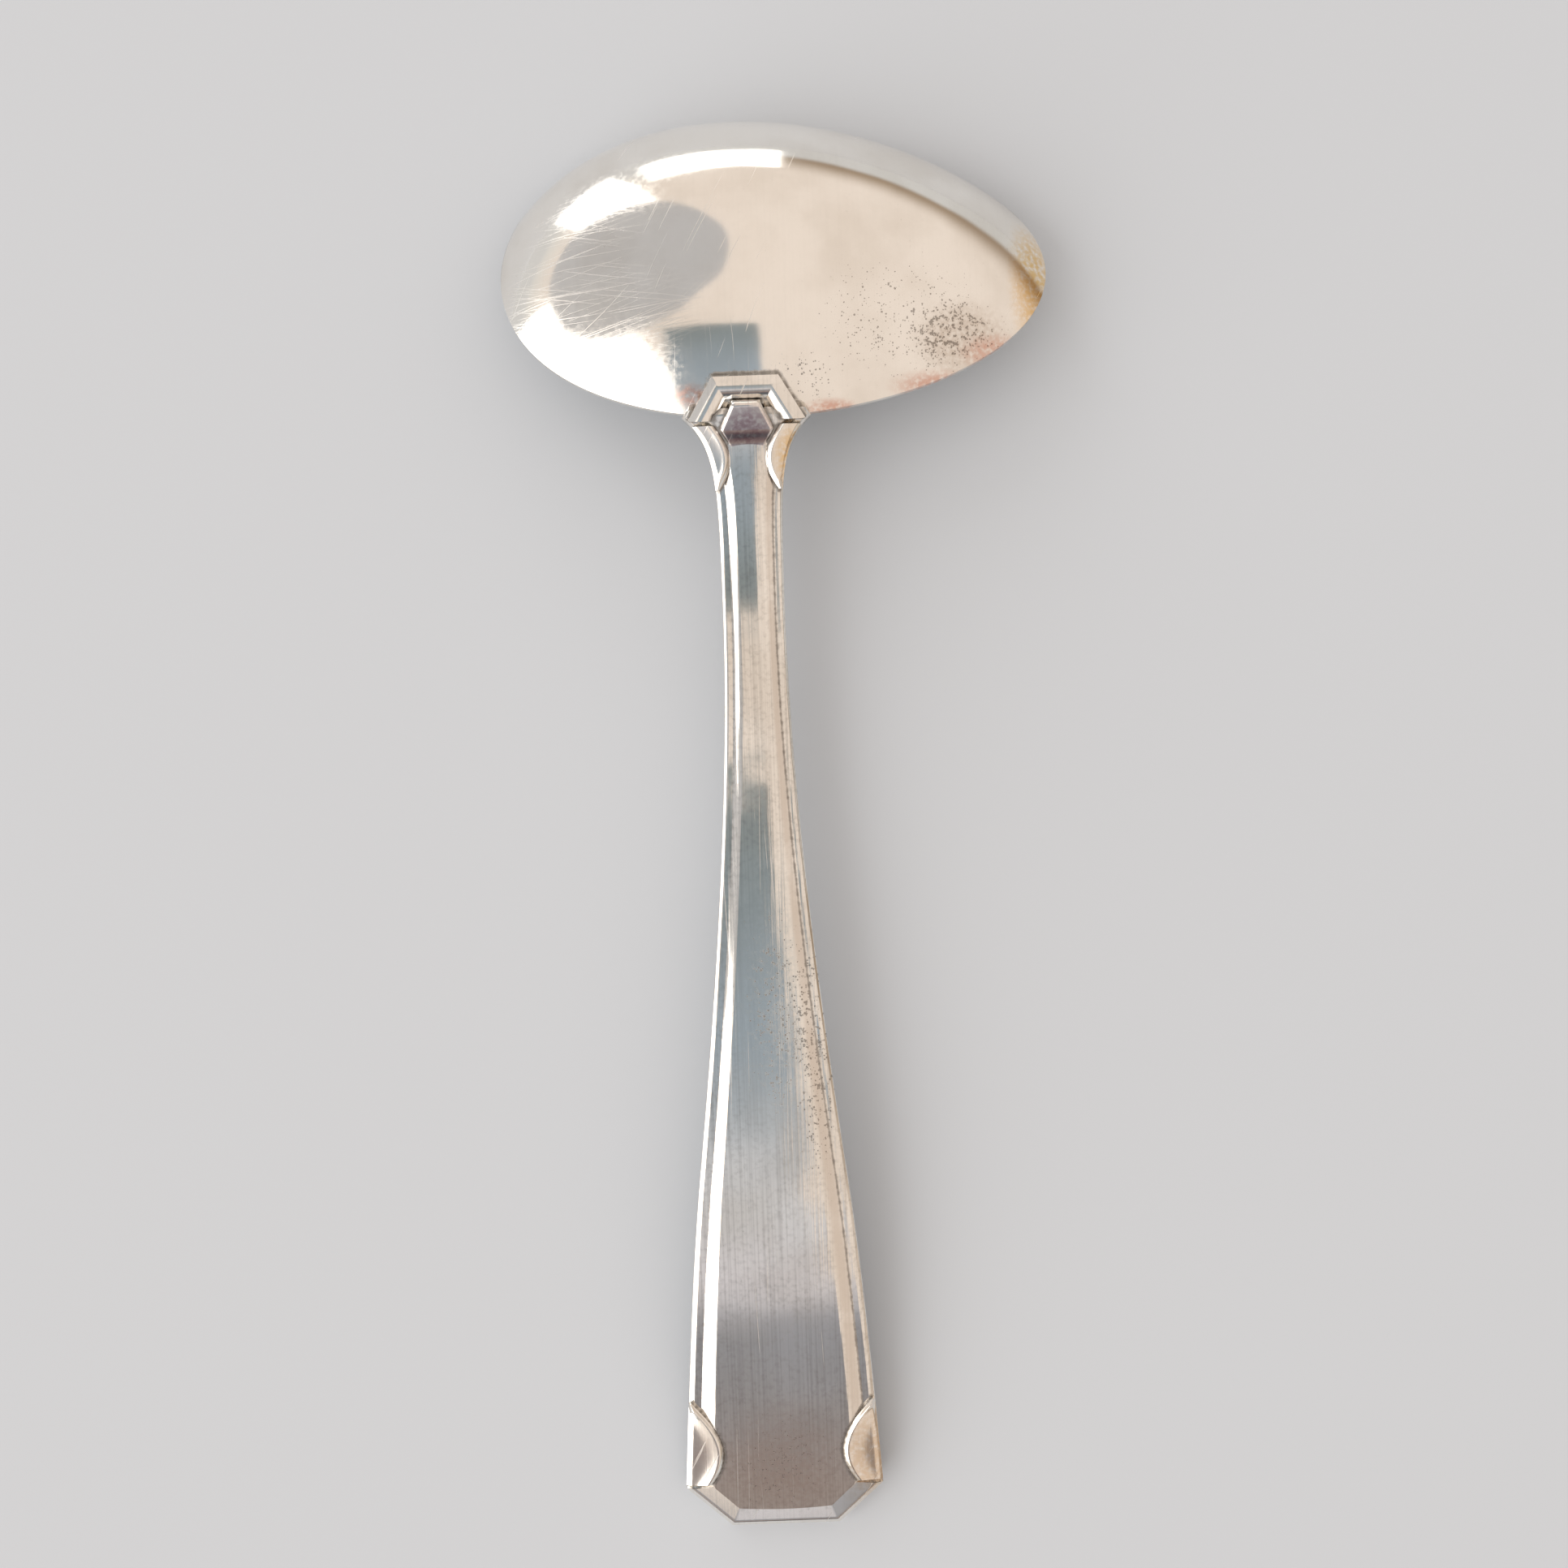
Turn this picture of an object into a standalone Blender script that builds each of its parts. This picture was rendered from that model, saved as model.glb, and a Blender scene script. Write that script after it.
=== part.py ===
"""Cream spoon: an oval bowl with a pouring lip, a stepped handle and applied ornaments.

The spoon lies face down, on the front of its rim and on the end of its handle.
X points to the pouring lip, Y from the handle's end to the bowl, Z up. Sizes are in metres.
Distances along the handle are counted from the heel, where the handle meets the bowl's rim.
"""

import math

import bmesh
import bpy
import numpy as np
from mathutils import Matrix

# Bowl
BOWL_WIDTH = 0.0537
BOWL_LENGTH = 0.0325
BOWL_DEPTH = 0.0100
BOWL_FULLNESS = math.radians(55.0)
BOWL_LEAN = 0.0034
BOWL_WALL = 0.0011
RIM_BAND = 0.0006
BOWL_TILT = math.radians(18.0)
LIP_REACH = 0.0030
LIP_SET = 0.0010
RIM_ROUNDING = 0.0003

# Handle, seen from above
HANDLE_LENGTH = 0.1095
NECK_WIDTH = 0.0061
NECK_PLACE = 0.0170
MIDDLE_WIDTH = 0.0144
MIDDLE_PLACE = 0.0730
MIDDLE_SPREAD = 0.122
SHOULDER_WIDTH = 0.0198
SHOULDER_SPREAD = 0.070
CORNER_LENGTH = 0.0043
END_WIDTH = 0.0108
HEEL_FLARE = 0.0031
FLARE_LENGTH = 0.0025
HEEL_SEAT = 0.0007

# Handle, seen from the side
ARCH_HEIGHT = 0.0074
ARCH_SHARE = 0.566
TIP_THICKNESS = 0.0019
NECK_THICKNESS = 0.0029
HEEL_THICKNESS = 0.0025
NECK_CURVE_LENGTH = 0.0180

# Handle, across: edge bevel, flat border and step to the raised panel, at the neck and at the shoulder
BEVEL_WIDTHS = (0.0003, 0.0005)
BORDER_WIDTHS = (0.00065, 0.00085)
STEP_WIDTHS = (0.0007, 0.0014)
BEVEL_DROP = 0.0003
STEP_DROP = 0.0004
CROWN_DROP = 0.00005
END_SLOPE_LENGTH = 0.0014

# Ornaments
SOLDER_GAP = 0.0001
ORNAMENT_SINK = 0.00025
LEAF_RISE = 0.00035
LEAF_BEVEL = 0.00045
TIP_LEAF_LENGTH = 0.0090
TIP_LEAF_REACH = 0.00375
TIP_LEAF_SWEEP = math.radians(134.0)
NECK_LEAF_LENGTH = 0.0060
NECK_LEAF_REACH = 0.00135
NECK_LEAF_PLACE = 0.0009
LEAF_POINT = 0.04
TIP_BAR_WIDTH = 0.0016
TIP_BAR_RISE = 0.00020
TIP_BAR_EDGE = 0.00030
BAR_CLEARANCE = 0.0003

# Heel ornaments: the frame leans on the bowl's back, the boss on the end of the handle
FRAME_SLOPE = math.radians(20.0)
FRAME_DIP = 0.0002
FRAME_PLACE = -0.0004
FRAME_DEPTH = 0.0016
FRAME_WIDTH = 0.0112
FRAME_TOP_WIDTH = 0.0063
FRAME_LENGTH = 0.0041
FRAME_BAR_WIDTH = 0.0021
FRAME_RISE = 0.0004
BOSS_SLOPE = math.radians(32.0)
BOSS_WIDTH = 0.0052
BOSS_TOP_WIDTH = 0.0027
BOSS_FOOT_WIDTH = 0.0036
BOSS_LENGTH = 0.0044
BOSS_SHOULDER = 0.0017
BOSS_FOOT_PLACE = -0.0030
BOSS_RISE = 0.0005
BOSS_BEVEL = 0.0004

SILVER = (0.80, 0.77, 0.71, 1.0)
BRIGHT_ROUGHNESS = 0.16
WORN_ROUGHNESS = 0.24

# Fineness of the meshes
BOWL_SEGMENTS = 56
BOWL_RINGS = 20
ROUNDING_STEPS = 2
ROUNDED_ANGLE = math.radians(60.0)
SHANK_STATIONS = 26
NECK_STATIONS = 14
NECK_CROWDING = 1.5
LEAF_STATIONS = 10
PANEL_SHARE = 0.5
SHARP_ANGLE = math.radians(30.0)
TOLERANCE = 1e-5

# Places that follow from the sizes
HEEL_HEIGHT = BOWL_LENGTH * math.sin(BOWL_TILT)
RIM_HALF = 0.5 * BOWL_LENGTH * math.cos(BOWL_TILT)
BACK_DROP = 1.0 - math.cos(BOWL_FULLNESS)
BACK_REACH = (BOWL_LEAN * math.cos(BOWL_TILT) + BOWL_DEPTH * math.sin(BOWL_TILT)) / BACK_DROP
FAR_REACH = math.hypot(RIM_HALF / math.sin(BOWL_FULLNESS), BACK_REACH) - BACK_REACH * math.cos(BOWL_FULLNESS)
BOWL_REACH = RIM_HALF + FAR_REACH
HEEL_Y = 0.5 * (HANDLE_LENGTH - BOWL_REACH)
AXIS_X = -LIP_REACH
SHOULDER_PLACE = HANDLE_LENGTH - CORNER_LENGTH
REST_PLACE = HANDLE_LENGTH - 0.5 * TIP_BAR_WIDTH
ARCH_PLACE = ARCH_SHARE * HANDLE_LENGTH
FRAME_SEAT = HEEL_THICKNESS - FRAME_DIP
FRAME_RUN = 0.5 * (FRAME_WIDTH - FRAME_TOP_WIDTH)
FRAME_NARROWING = FRAME_RUN / (FRAME_LENGTH * math.cos(FRAME_SLOPE))
BACK, FRONT = 1, -1
LEFT, RIGHT = -1, 1


def clear_scene():
    for obj in list(bpy.data.objects):
        bpy.data.objects.remove(obj)


def new_collection(name):
    collection = bpy.data.collections.new(name)
    bpy.context.scene.collection.children.link(collection)
    return collection


def silver(name, roughness):
    material = bpy.data.materials.new(name)
    material.use_nodes = True
    shader = material.node_tree.nodes["Principled BSDF"]
    shader.inputs["Base Color"].default_value = SILVER
    shader.inputs["Metallic"].default_value = 1.0
    shader.inputs["Roughness"].default_value = roughness
    return material


def mesh_object(name, bm, collection):
    bmesh.ops.recalc_face_normals(bm, faces=bm.faces)
    mesh = bpy.data.meshes.new(name)
    bm.to_mesh(mesh)
    bm.free()
    mesh.shade_smooth()
    mesh.set_sharp_from_angle(angle=SHARP_ANGLE)
    obj = bpy.data.objects.new(name, mesh)
    collection.objects.link(obj)
    return obj


def part(name, bm, collection, roughness, parent):
    obj = mesh_object(name, bm, collection)
    obj.data.materials.append(silver(name, roughness))
    obj.parent = parent
    return obj


def cutter(name, bm, collection):
    obj = mesh_object(name, bm, collection)
    obj.hide_render = True
    obj.display_type = "WIRE"
    return obj


def cut(obj, *cutters):
    for tool in cutters:
        boolean = obj.modifiers.new("clear_of_" + tool.name, "BOOLEAN")
        boolean.operation = "DIFFERENCE"
        boolean.solver = "EXACT"
        boolean.object = tool


def loft(rings):
    """A solid through closed rings of equally many points, with flat ends."""
    bm = bmesh.new()
    loops = [[bm.verts.new(point) for point in ring] for ring in rings]
    count = len(loops[0])
    for near, far in zip(loops, loops[1:]):
        for i in range(count):
            j = (i + 1) % count
            bm.faces.new((near[i], near[j], far[j], far[i]))
    bm.faces.new(loops[0])
    bm.faces.new(loops[-1])
    return bm


def ease(start, end, x):
    """Cubic from start to end, each given as place, value and slope."""
    x0, y0, m0 = start
    x1, y1, m1 = end
    span = x1 - x0
    t = (x - x0) / span
    rise = (1 - t) ** 2 * ((1 + 2 * t) * y0 + t * span * m0)
    return rise + t * t * ((3 - 2 * t) * y1 - (1 - t) * span * m1)


# Bowl

def egg(point, grow):
    """The bowl's outside, grown by a margin, for a point of the upper half of the unit sphere.

    The half sphere becomes a cap of a ball, whose middle leans away from the handle. It is drawn out
    to the lip, which is set towards the handle.
    """
    turn = math.atan2(point.y, point.x)
    climb = BOWL_FULLNESS * math.acos(min(1.0, point.z)) / (0.5 * math.pi)
    out = math.sin(climb) / math.sin(BOWL_FULLNESS)
    up = 1.0 - (1.0 - math.cos(climb)) / BACK_DROP
    across = out * math.cos(turn)
    x = (0.5 * BOWL_WIDTH + grow) * across + LIP_REACH * across ** 2
    y = (0.5 * BOWL_LENGTH + grow) * out * math.sin(turn) + BOWL_LEAN * up
    y -= 0.5 * LIP_SET * (across + across ** 2)
    return (x, y, RIM_BAND + (BOWL_DEPTH - RIM_BAND + grow) * up)


def dome_mesh(grow):
    """The bowl's outside, grown by a margin: a dome that ends in an upright band, open below."""
    bm = bmesh.new()
    bmesh.ops.create_uvsphere(bm, u_segments=BOWL_SEGMENTS, v_segments=BOWL_RINGS, radius=1.0)
    below = [v for v in bm.verts if v.co.z < -TOLERANCE]
    bmesh.ops.delete(bm, geom=below, context="VERTS")
    for v in bm.verts:
        v.co = egg(v.co, grow)
    rim = [edge for edge in bm.edges if edge.is_boundary]
    for v in bmesh.ops.extrude_edge_only(bm, edges=rim)["geom"]:
        if isinstance(v, bmesh.types.BMVert):
            v.co.z = -grow
    return bm


def bowl_space_mesh():
    """The room that the bowl takes, closed below."""
    bm = dome_mesh(SOLDER_GAP)
    bmesh.ops.contextual_create(bm, geom=[edge for edge in bm.edges if edge.is_boundary])
    return bm


def bowl_place():
    """From the rim's plane, with Z to the bowl's back, to the spoon lying on its rim."""
    middle = Matrix.Translation((AXIS_X, HEEL_Y + RIM_HALF, 0.5 * HEEL_HEIGHT))
    return middle @ Matrix.Rotation(-BOWL_TILT, 4, "X")


def thicken(bowl):
    shell = bowl.modifiers.new("wall", "SOLIDIFY")
    shell.thickness = BOWL_WALL
    shell.offset = -1.0
    shell.use_even_offset = True
    bevel = bowl.modifiers.new("rim_rounding", "BEVEL")
    bevel.width = RIM_ROUNDING
    bevel.segments = ROUNDING_STEPS
    bevel.limit_method = "ANGLE"
    bevel.angle_limit = ROUNDED_ANGLE


# Handle

def half_width(d):
    neck = (NECK_PLACE, 0.5 * NECK_WIDTH, 0.0)
    middle = (MIDDLE_PLACE, 0.5 * MIDDLE_WIDTH, MIDDLE_SPREAD)
    shoulder = (SHOULDER_PLACE, 0.5 * SHOULDER_WIDTH, SHOULDER_SPREAD)
    if d > SHOULDER_PLACE:
        share = (d - SHOULDER_PLACE) / CORNER_LENGTH
        return 0.5 * (SHOULDER_WIDTH + share * (END_WIDTH - SHOULDER_WIDTH))
    if d > MIDDLE_PLACE:
        return ease(middle, shoulder, d)
    if d > NECK_PLACE:
        return ease(neck, middle, d)
    if d > 0.0:
        return 0.5 * NECK_WIDTH + HEEL_FLARE * math.exp(-d / FLARE_LENGTH)
    return 0.5 * NECK_WIDTH + HEEL_FLARE + d * FRAME_NARROWING


def thickness(d):
    """Between the middles of the handle's back and front, without the heel's thickening."""
    return NECK_THICKNESS + (TIP_THICKNESS - NECK_THICKNESS) * d / HANDLE_LENGTH


def arch(d):
    """Height of the back without the neck's rise. The front's end bar touches the ground with its ridge."""
    low = thickness(REST_PLACE) + TIP_BAR_RISE - CROWN_DROP
    share = (d - ARCH_PLACE) / (REST_PLACE - ARCH_PLACE)
    return ARCH_HEIGHT - (ARCH_HEIGHT - low) * share ** 2


def heel_part(d):
    """How much of the neck's rise to the bowl is reached: 1 at the heel, 0 at the handle's end."""
    rest = math.exp(-REST_PLACE / NECK_CURVE_LENGTH)
    return (math.exp(-d / NECK_CURVE_LENGTH) - rest) / (1.0 - rest)


def level(d, face):
    """Height of the middle of the handle's back or front."""
    back = arch(d) + (HEEL_HEIGHT + HEEL_THICKNESS - arch(0.0)) * heel_part(d)
    if face == BACK:
        return back
    return back - thickness(d) - (HEEL_THICKNESS - NECK_THICKNESS) * heel_part(d)


def spread(widths, d):
    """A width that goes from its neck value to its shoulder value as the handle widens."""
    share = (2.0 * half_width(d) - NECK_WIDTH) / (SHOULDER_WIDTH - NECK_WIDTH)
    return widths[0] + share * (widths[1] - widths[0])


def end_share(d):
    """How far the panel has sloped down to the border, over the last stretch of the handle."""
    return min(1.0, max(0.0, 1.0 - (HANDLE_LENGTH - d) / END_SLOPE_LENGTH))


def half_section(d):
    """Distance from the axis and drop below the middle, from the edge to the middle."""
    edge = half_width(d)
    border = edge - spread(BEVEL_WIDTHS, d)
    step = border - spread(BORDER_WIDTHS, d)
    panel = step - spread(STEP_WIDTHS, d)
    low = CROWN_DROP + STEP_DROP
    raised = 1.0 - end_share(d)
    return [
        (edge, low + BEVEL_DROP),
        (border, low),
        (step, low),
        (panel, low - raised * STEP_DROP),
        (PANEL_SHARE * panel, low - raised * (STEP_DROP + (1.0 - PANEL_SHARE ** 2) * CROWN_DROP)),
        (0.0, low - raised * low),
    ]


def section(d, grow):
    """The handle's outline across, round from the back's left edge. The end on the bowl's back runs level."""
    y = HEEL_Y - d
    place = max(d, 0.0)
    half = half_section(d)
    edge = half[0][0]
    across = [-x for x, drop in half] + [x for x, drop in half[-2::-1]]
    drops = [drop for x, drop in half] + [drop for x, drop in half[-2::-1]]
    wide = [x + math.copysign(grow, x) if abs(x) == edge else x for x in across]
    back = [(AXIS_X + x, y, level(place, BACK) - drop + grow) for x, drop in zip(wide, drops)]
    front = [(AXIS_X + x, y, level(place, FRONT) + drop - grow) for x, drop in zip(wide, drops)]
    return back + front[::-1]


def stations(grow):
    """Distances from the heel at which the handle's outline across is drawn."""
    tip = [HANDLE_LENGTH + grow, HANDLE_LENGTH - 0.5 * END_SLOPE_LENGTH, HANDLE_LENGTH - END_SLOPE_LENGTH]
    shoulder = [0.5 * (SHOULDER_PLACE + tip[-1]), SHOULDER_PLACE]
    shank = np.linspace(SHOULDER_PLACE, NECK_PLACE, SHANK_STATIONS)[1:]
    neck = NECK_PLACE * np.linspace(1.0, 0.0, NECK_STATIONS)[1:] ** NECK_CROWDING
    return [*tip, *shoulder, *shank, *neck, -HEEL_SEAT - grow]


def handle_mesh(grow):
    return loft([section(d, grow) for d in stations(grow)])


# Ornaments on the handle

def on_handle(x, d, face, rise):
    """A point at a height over the edge of the handle's raised panel."""
    return (AXIS_X + x, HEEL_Y - d, level(d, face) + face * (rise - CROWN_DROP))


def leaf_mesh(side, face, places, inner_edge):
    """A leaf from the handle's edge to an inner edge, highest beside the inner edge, lower where narrow."""
    rings = []
    for d in places:
        outer = half_width(d)
        inner = inner_edge(d)
        full = min(1.0, 0.5 * (outer - inner) / LEAF_BEVEL)
        base = -STEP_DROP - ORNAMENT_SINK
        outline = [
            (outer, base),
            (outer, full * LEAF_RISE - STEP_DROP),
            (inner + full * LEAF_BEVEL, full * LEAF_RISE),
            (inner, 0.0),
            (inner, base),
        ]
        rings.append([on_handle(side * x, d, face, rise) for x, rise in outline])
    return loft(rings)


def tip_leaf_mesh(side, face):
    end = SHOULDER_PLACE - BAR_CLEARANCE

    def inner_edge(d):
        share = 1.0 - (end - d) / TIP_LEAF_LENGTH
        return half_width(d) - TIP_LEAF_REACH * math.sin(TIP_LEAF_SWEEP * share)

    places = end - TIP_LEAF_LENGTH * np.linspace(1.0 - LEAF_POINT, 0.0, LEAF_STATIONS)
    return leaf_mesh(side, face, places, inner_edge)


def neck_leaf_mesh(side, face):
    def inner_edge(d):
        share = (d - NECK_LEAF_PLACE) / NECK_LEAF_LENGTH
        return 0.5 * NECK_WIDTH - NECK_LEAF_REACH * math.sin(math.pi * share)

    shares = np.linspace(1.0 - LEAF_POINT, 0.0, LEAF_STATIONS)
    return leaf_mesh(side, face, NECK_LEAF_PLACE + NECK_LEAF_LENGTH * shares, inner_edge)


def tip_frame_mesh(face):
    """Three mitred bars along the clipped corners and the end."""
    run = 0.5 * (SHOULDER_WIDTH - END_WIDTH)
    corner = math.hypot(run, CORNER_LENGTH)
    top = 0.5 * SHOULDER_WIDTH - TIP_BAR_WIDTH * (CORNER_LENGTH + run * run / CORNER_LENGTH) / corner
    mitre = TIP_BAR_WIDTH * (corner - run) / CORNER_LENGTH
    outer = [(0.5 * SHOULDER_WIDTH, SHOULDER_PLACE), (0.5 * END_WIDTH, HANDLE_LENGTH)]
    inner = [(top, SHOULDER_PLACE), (0.5 * END_WIDTH - mitre, HANDLE_LENGTH - TIP_BAR_WIDTH)]
    base = -STEP_DROP - ORNAMENT_SINK
    rings = []
    for side, order in ((LEFT, (0, 1)), (RIGHT, (1, 0))):
        for i in order:
            out = np.array(outer[i])
            inn = np.array(inner[i])
            ridge = 0.5 * (out + inn)
            outline = [
                (out, base),
                (out, TIP_BAR_EDGE - STEP_DROP),
                (ridge, TIP_BAR_RISE),
                (inn, 0.0),
                (inn, base),
            ]
            rings.append([on_handle(side * x, d, face, rise) for (x, d), rise in outline])
    return loft(rings)


# Ornaments on the heel

def heel_place(height, slope):
    """A plane at the heel, at a height over the rim, Y up the slope and Z away from the bowl."""
    heel = Matrix.Translation((AXIS_X, HEEL_Y, HEEL_HEIGHT + height))
    return heel @ Matrix.Rotation(slope, 4, "X")


def heel_frame_mesh():
    """Three mitred bars round the top of a half hexagon, open to the handle."""
    side_bar = math.hypot(FRAME_RUN, FRAME_LENGTH)
    mitre = FRAME_BAR_WIDTH * (side_bar - FRAME_RUN) / FRAME_LENGTH
    top = FRAME_PLACE + FRAME_LENGTH
    outer = [(0.5 * FRAME_WIDTH, FRAME_PLACE), (0.5 * FRAME_TOP_WIDTH, top)]
    inner = [
        (0.5 * FRAME_WIDTH - FRAME_BAR_WIDTH * side_bar / FRAME_LENGTH, FRAME_PLACE),
        (0.5 * FRAME_TOP_WIDTH - mitre, top - FRAME_BAR_WIDTH),
    ]
    rings = []
    for side, order in ((LEFT, (0, 1)), (RIGHT, (1, 0))):
        for i in order:
            out = np.array(outer[i])
            inn = np.array(inner[i])
            ridge = 0.5 * (out + inn)
            outline = [
                (out, -FRAME_DEPTH),
                (out, 0.0),
                (ridge, FRAME_RISE),
                (inn, 0.0),
                (inn, -FRAME_DEPTH),
            ]
            rings.append([(side * x, y, z) for (x, y), z in outline])
    return loft(rings)


def heel_boss_mesh():
    """A keystone plate with bevelled edges."""
    foot = BOSS_FOOT_PLACE
    shoulder = foot + BOSS_SHOULDER
    top = foot + BOSS_LENGTH

    def outline(inset):
        half = [
            (0.5 * BOSS_FOOT_WIDTH - inset, foot),
            (0.5 * BOSS_WIDTH - inset, shoulder),
            (0.5 * BOSS_TOP_WIDTH - inset, top - inset),
        ]
        return half + [(-x, y) for x, y in reversed(half)]

    levels = ((0.0, -ORNAMENT_SINK), (0.0, BOSS_RISE - BOSS_BEVEL), (BOSS_BEVEL, BOSS_RISE))
    return loft([[(x, y, height) for x, y in outline(inset)] for inset, height in levels])


def build():
    clear_scene()
    pieces = new_collection("cream_spoon")
    tools = new_collection("cutters")
    root = bpy.data.objects.new("spoon_root", None)
    pieces.objects.link(root)

    bowl_space = cutter("bowl_space", bowl_space_mesh(), tools)
    bowl_space.matrix_world = bowl_place()
    handle_space = cutter("handle_space", handle_mesh(SOLDER_GAP), tools)

    bowl = part("bowl", dome_mesh(0.0), pieces, BRIGHT_ROUGHNESS, root)
    bowl.matrix_world = bowl_place()
    thicken(bowl)
    handle = part("handle", handle_mesh(0.0), pieces, BRIGHT_ROUGHNESS, root)
    cut(handle, bowl_space)

    frame = part("heel_frame", heel_frame_mesh(), pieces, WORN_ROUGHNESS, root)
    frame.matrix_world = heel_place(FRAME_SEAT, FRAME_SLOPE)
    cut(frame, bowl_space, handle_space)
    boss = part("heel_boss", heel_boss_mesh(), pieces, WORN_ROUGHNESS, root)
    boss.matrix_world = heel_place(HEEL_THICKNESS, BOSS_SLOPE)
    cut(boss, bowl_space, handle_space)

    for face_name, face in (("back", BACK), ("front", FRONT)):
        for side_name, side in (("left", LEFT), ("right", RIGHT)):
            ending = "_" + face_name + "_" + side_name
            leaf = part("neck_leaf" + ending, neck_leaf_mesh(side, face), pieces, WORN_ROUGHNESS, root)
            cut(leaf, handle_space, bowl_space)
            leaf = part("tip_leaf" + ending, tip_leaf_mesh(side, face), pieces, WORN_ROUGHNESS, root)
            cut(leaf, handle_space)
        frame = part("tip_frame_" + face_name, tip_frame_mesh(face), pieces, WORN_ROUGHNESS, root)
        cut(frame, handle_space)


build()
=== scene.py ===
"""Looks of the cream spoon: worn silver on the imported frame.

Each piece repeats the formula of its solid at a finer grain, with rounded edges, and stands for that solid.
X points to the pouring lip, Y from the handle's end to the bowl, Z up. Sizes are in metres.
Distances along the handle are counted from the heel, where the handle meets the bowl's rim.
"""

import math

import bmesh
import bpy
import numpy as np
from mathutils import Matrix, Vector
from mathutils.bvhtree import BVHTree


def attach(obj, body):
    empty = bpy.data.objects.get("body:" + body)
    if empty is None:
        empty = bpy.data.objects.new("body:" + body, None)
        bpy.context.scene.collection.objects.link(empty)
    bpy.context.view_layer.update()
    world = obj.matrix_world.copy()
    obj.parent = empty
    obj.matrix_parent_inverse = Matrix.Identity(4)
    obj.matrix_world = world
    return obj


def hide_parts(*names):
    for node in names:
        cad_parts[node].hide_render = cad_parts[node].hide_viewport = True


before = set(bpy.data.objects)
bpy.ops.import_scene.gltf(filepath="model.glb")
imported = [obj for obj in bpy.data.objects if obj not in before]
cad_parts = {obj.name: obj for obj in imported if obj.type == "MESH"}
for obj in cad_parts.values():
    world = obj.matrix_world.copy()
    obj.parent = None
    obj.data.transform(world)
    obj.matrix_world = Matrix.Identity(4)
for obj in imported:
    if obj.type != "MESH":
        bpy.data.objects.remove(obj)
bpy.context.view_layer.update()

# Bowl
BOWL_WIDTH = 0.0537
BOWL_LENGTH = 0.0325
BOWL_DEPTH = 0.0100
BOWL_FULLNESS = math.radians(55.0)
BOWL_LEAN = 0.0034
BOWL_WALL = 0.0011
RIM_BAND = 0.0006
BOWL_TILT = math.radians(18.0)
LIP_REACH = 0.0030
LIP_SET = 0.0010
RIM_ROUNDING = 0.0003
BOWL_INSET = 0.00003
BOWL_TURNS = 320
BOWL_CLIMBS = 110
RIM_POINTS = 6

# Handle, seen from above
HANDLE_LENGTH = 0.1095
NECK_WIDTH = 0.0061
NECK_PLACE = 0.0170
MIDDLE_WIDTH = 0.0144
MIDDLE_PLACE = 0.0730
MIDDLE_SPREAD = 0.122
SHOULDER_WIDTH = 0.0198
SHOULDER_SPREAD = 0.070
CORNER_LENGTH = 0.0043
END_WIDTH = 0.0108
HEEL_FLARE = 0.0031
FLARE_LENGTH = 0.0025
HEEL_SEAT = 0.0007
CORNER_SOFTNESS = 0.00012

# Handle, seen from the side
ARCH_HEIGHT = 0.0074
ARCH_SHARE = 0.566
TIP_THICKNESS = 0.0019
NECK_THICKNESS = 0.0029
HEEL_THICKNESS = 0.0025
NECK_CURVE_LENGTH = 0.0180

# Handle, across: edge bevel, flat border and step to the raised panel, at the neck and at the shoulder
BEVEL_WIDTHS = (0.0003, 0.0005)
BORDER_WIDTHS = (0.00065, 0.00085)
STEP_WIDTHS = (0.0007, 0.0014)
BEVEL_DROP = 0.0003
STEP_DROP = 0.0004
CROWN_DROP = 0.00005
END_SLOPE_LENGTH = 0.0014
STEP_SOFTNESS = 0.00005
EDGE_ROUNDING = 0.00010

# The handle's rounded edge: distances in from the edge and down, as shares of its rounding
EDGE_CORNER = ((0.3, 0.5), (0.0, 1.3))

# Points across the handle and rings along it, which crowd towards the heel
PANEL_POINTS = 26
STEP_POINTS = 12
BORDER_POINTS = 8
BEVEL_POINTS = 7
TIP_RINGS = 8
CORNER_RINGS = 26
CORNER_MARGIN = 0.0012
SHANK_RINGS = 180
NECK_RINGS = 90
NECK_CROWDING = 1.3

# Ornaments
ORNAMENT_SINK = 0.0004
ORNAMENT_INSET = 0.00003
LEAF_RISE = 0.00035
LEAF_BEVEL = 0.00045
LEAF_HOLLOW = 0.00005
LEAF_EDGE_WIDTH = 0.00035
LEAF_EDGE_DROP = 0.00025
TIP_LEAF_LENGTH = 0.0090
TIP_LEAF_REACH = 0.00375
TIP_LEAF_SWEEP = math.radians(134.0)
TIP_LEAF_TILT = 0.7
NECK_LEAF_LENGTH = 0.0060
NECK_LEAF_REACH = 0.00135
NECK_LEAF_PLACE = 0.0009
NECK_LEAF_TILT = 0.3
LEAF_POINT = 0.04
LEAF_RINGS = 60
LEAF_RIM_POINTS = 12
LEAF_FACE_POINTS = 16
LEAF_RIM_REACH = 1.6
LEAF_RIM_SOFTNESS = 0.12
TIP_BAR_WIDTH = 0.0016
TIP_BAR_RISE = 0.00020
TIP_BAR_EDGE = 0.00030
BAR_CLEARANCE = 0.0003
BAR_SPREAD = 0.0003
BAR_CREST = 0.25
BAR_CREST_RISE = 0.00032
BAR_CREST_SOFTNESS = 0.12
BAR_EDGE_SHARE = -0.3
TIP_BAR_POINTS = 17

# Places along each of three mitred bars, close together beside the mitres
BAR_STOPS = (0.0, 0.02, 0.06, *np.linspace(0.12, 0.88, 9), 0.94, 0.98)

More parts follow.
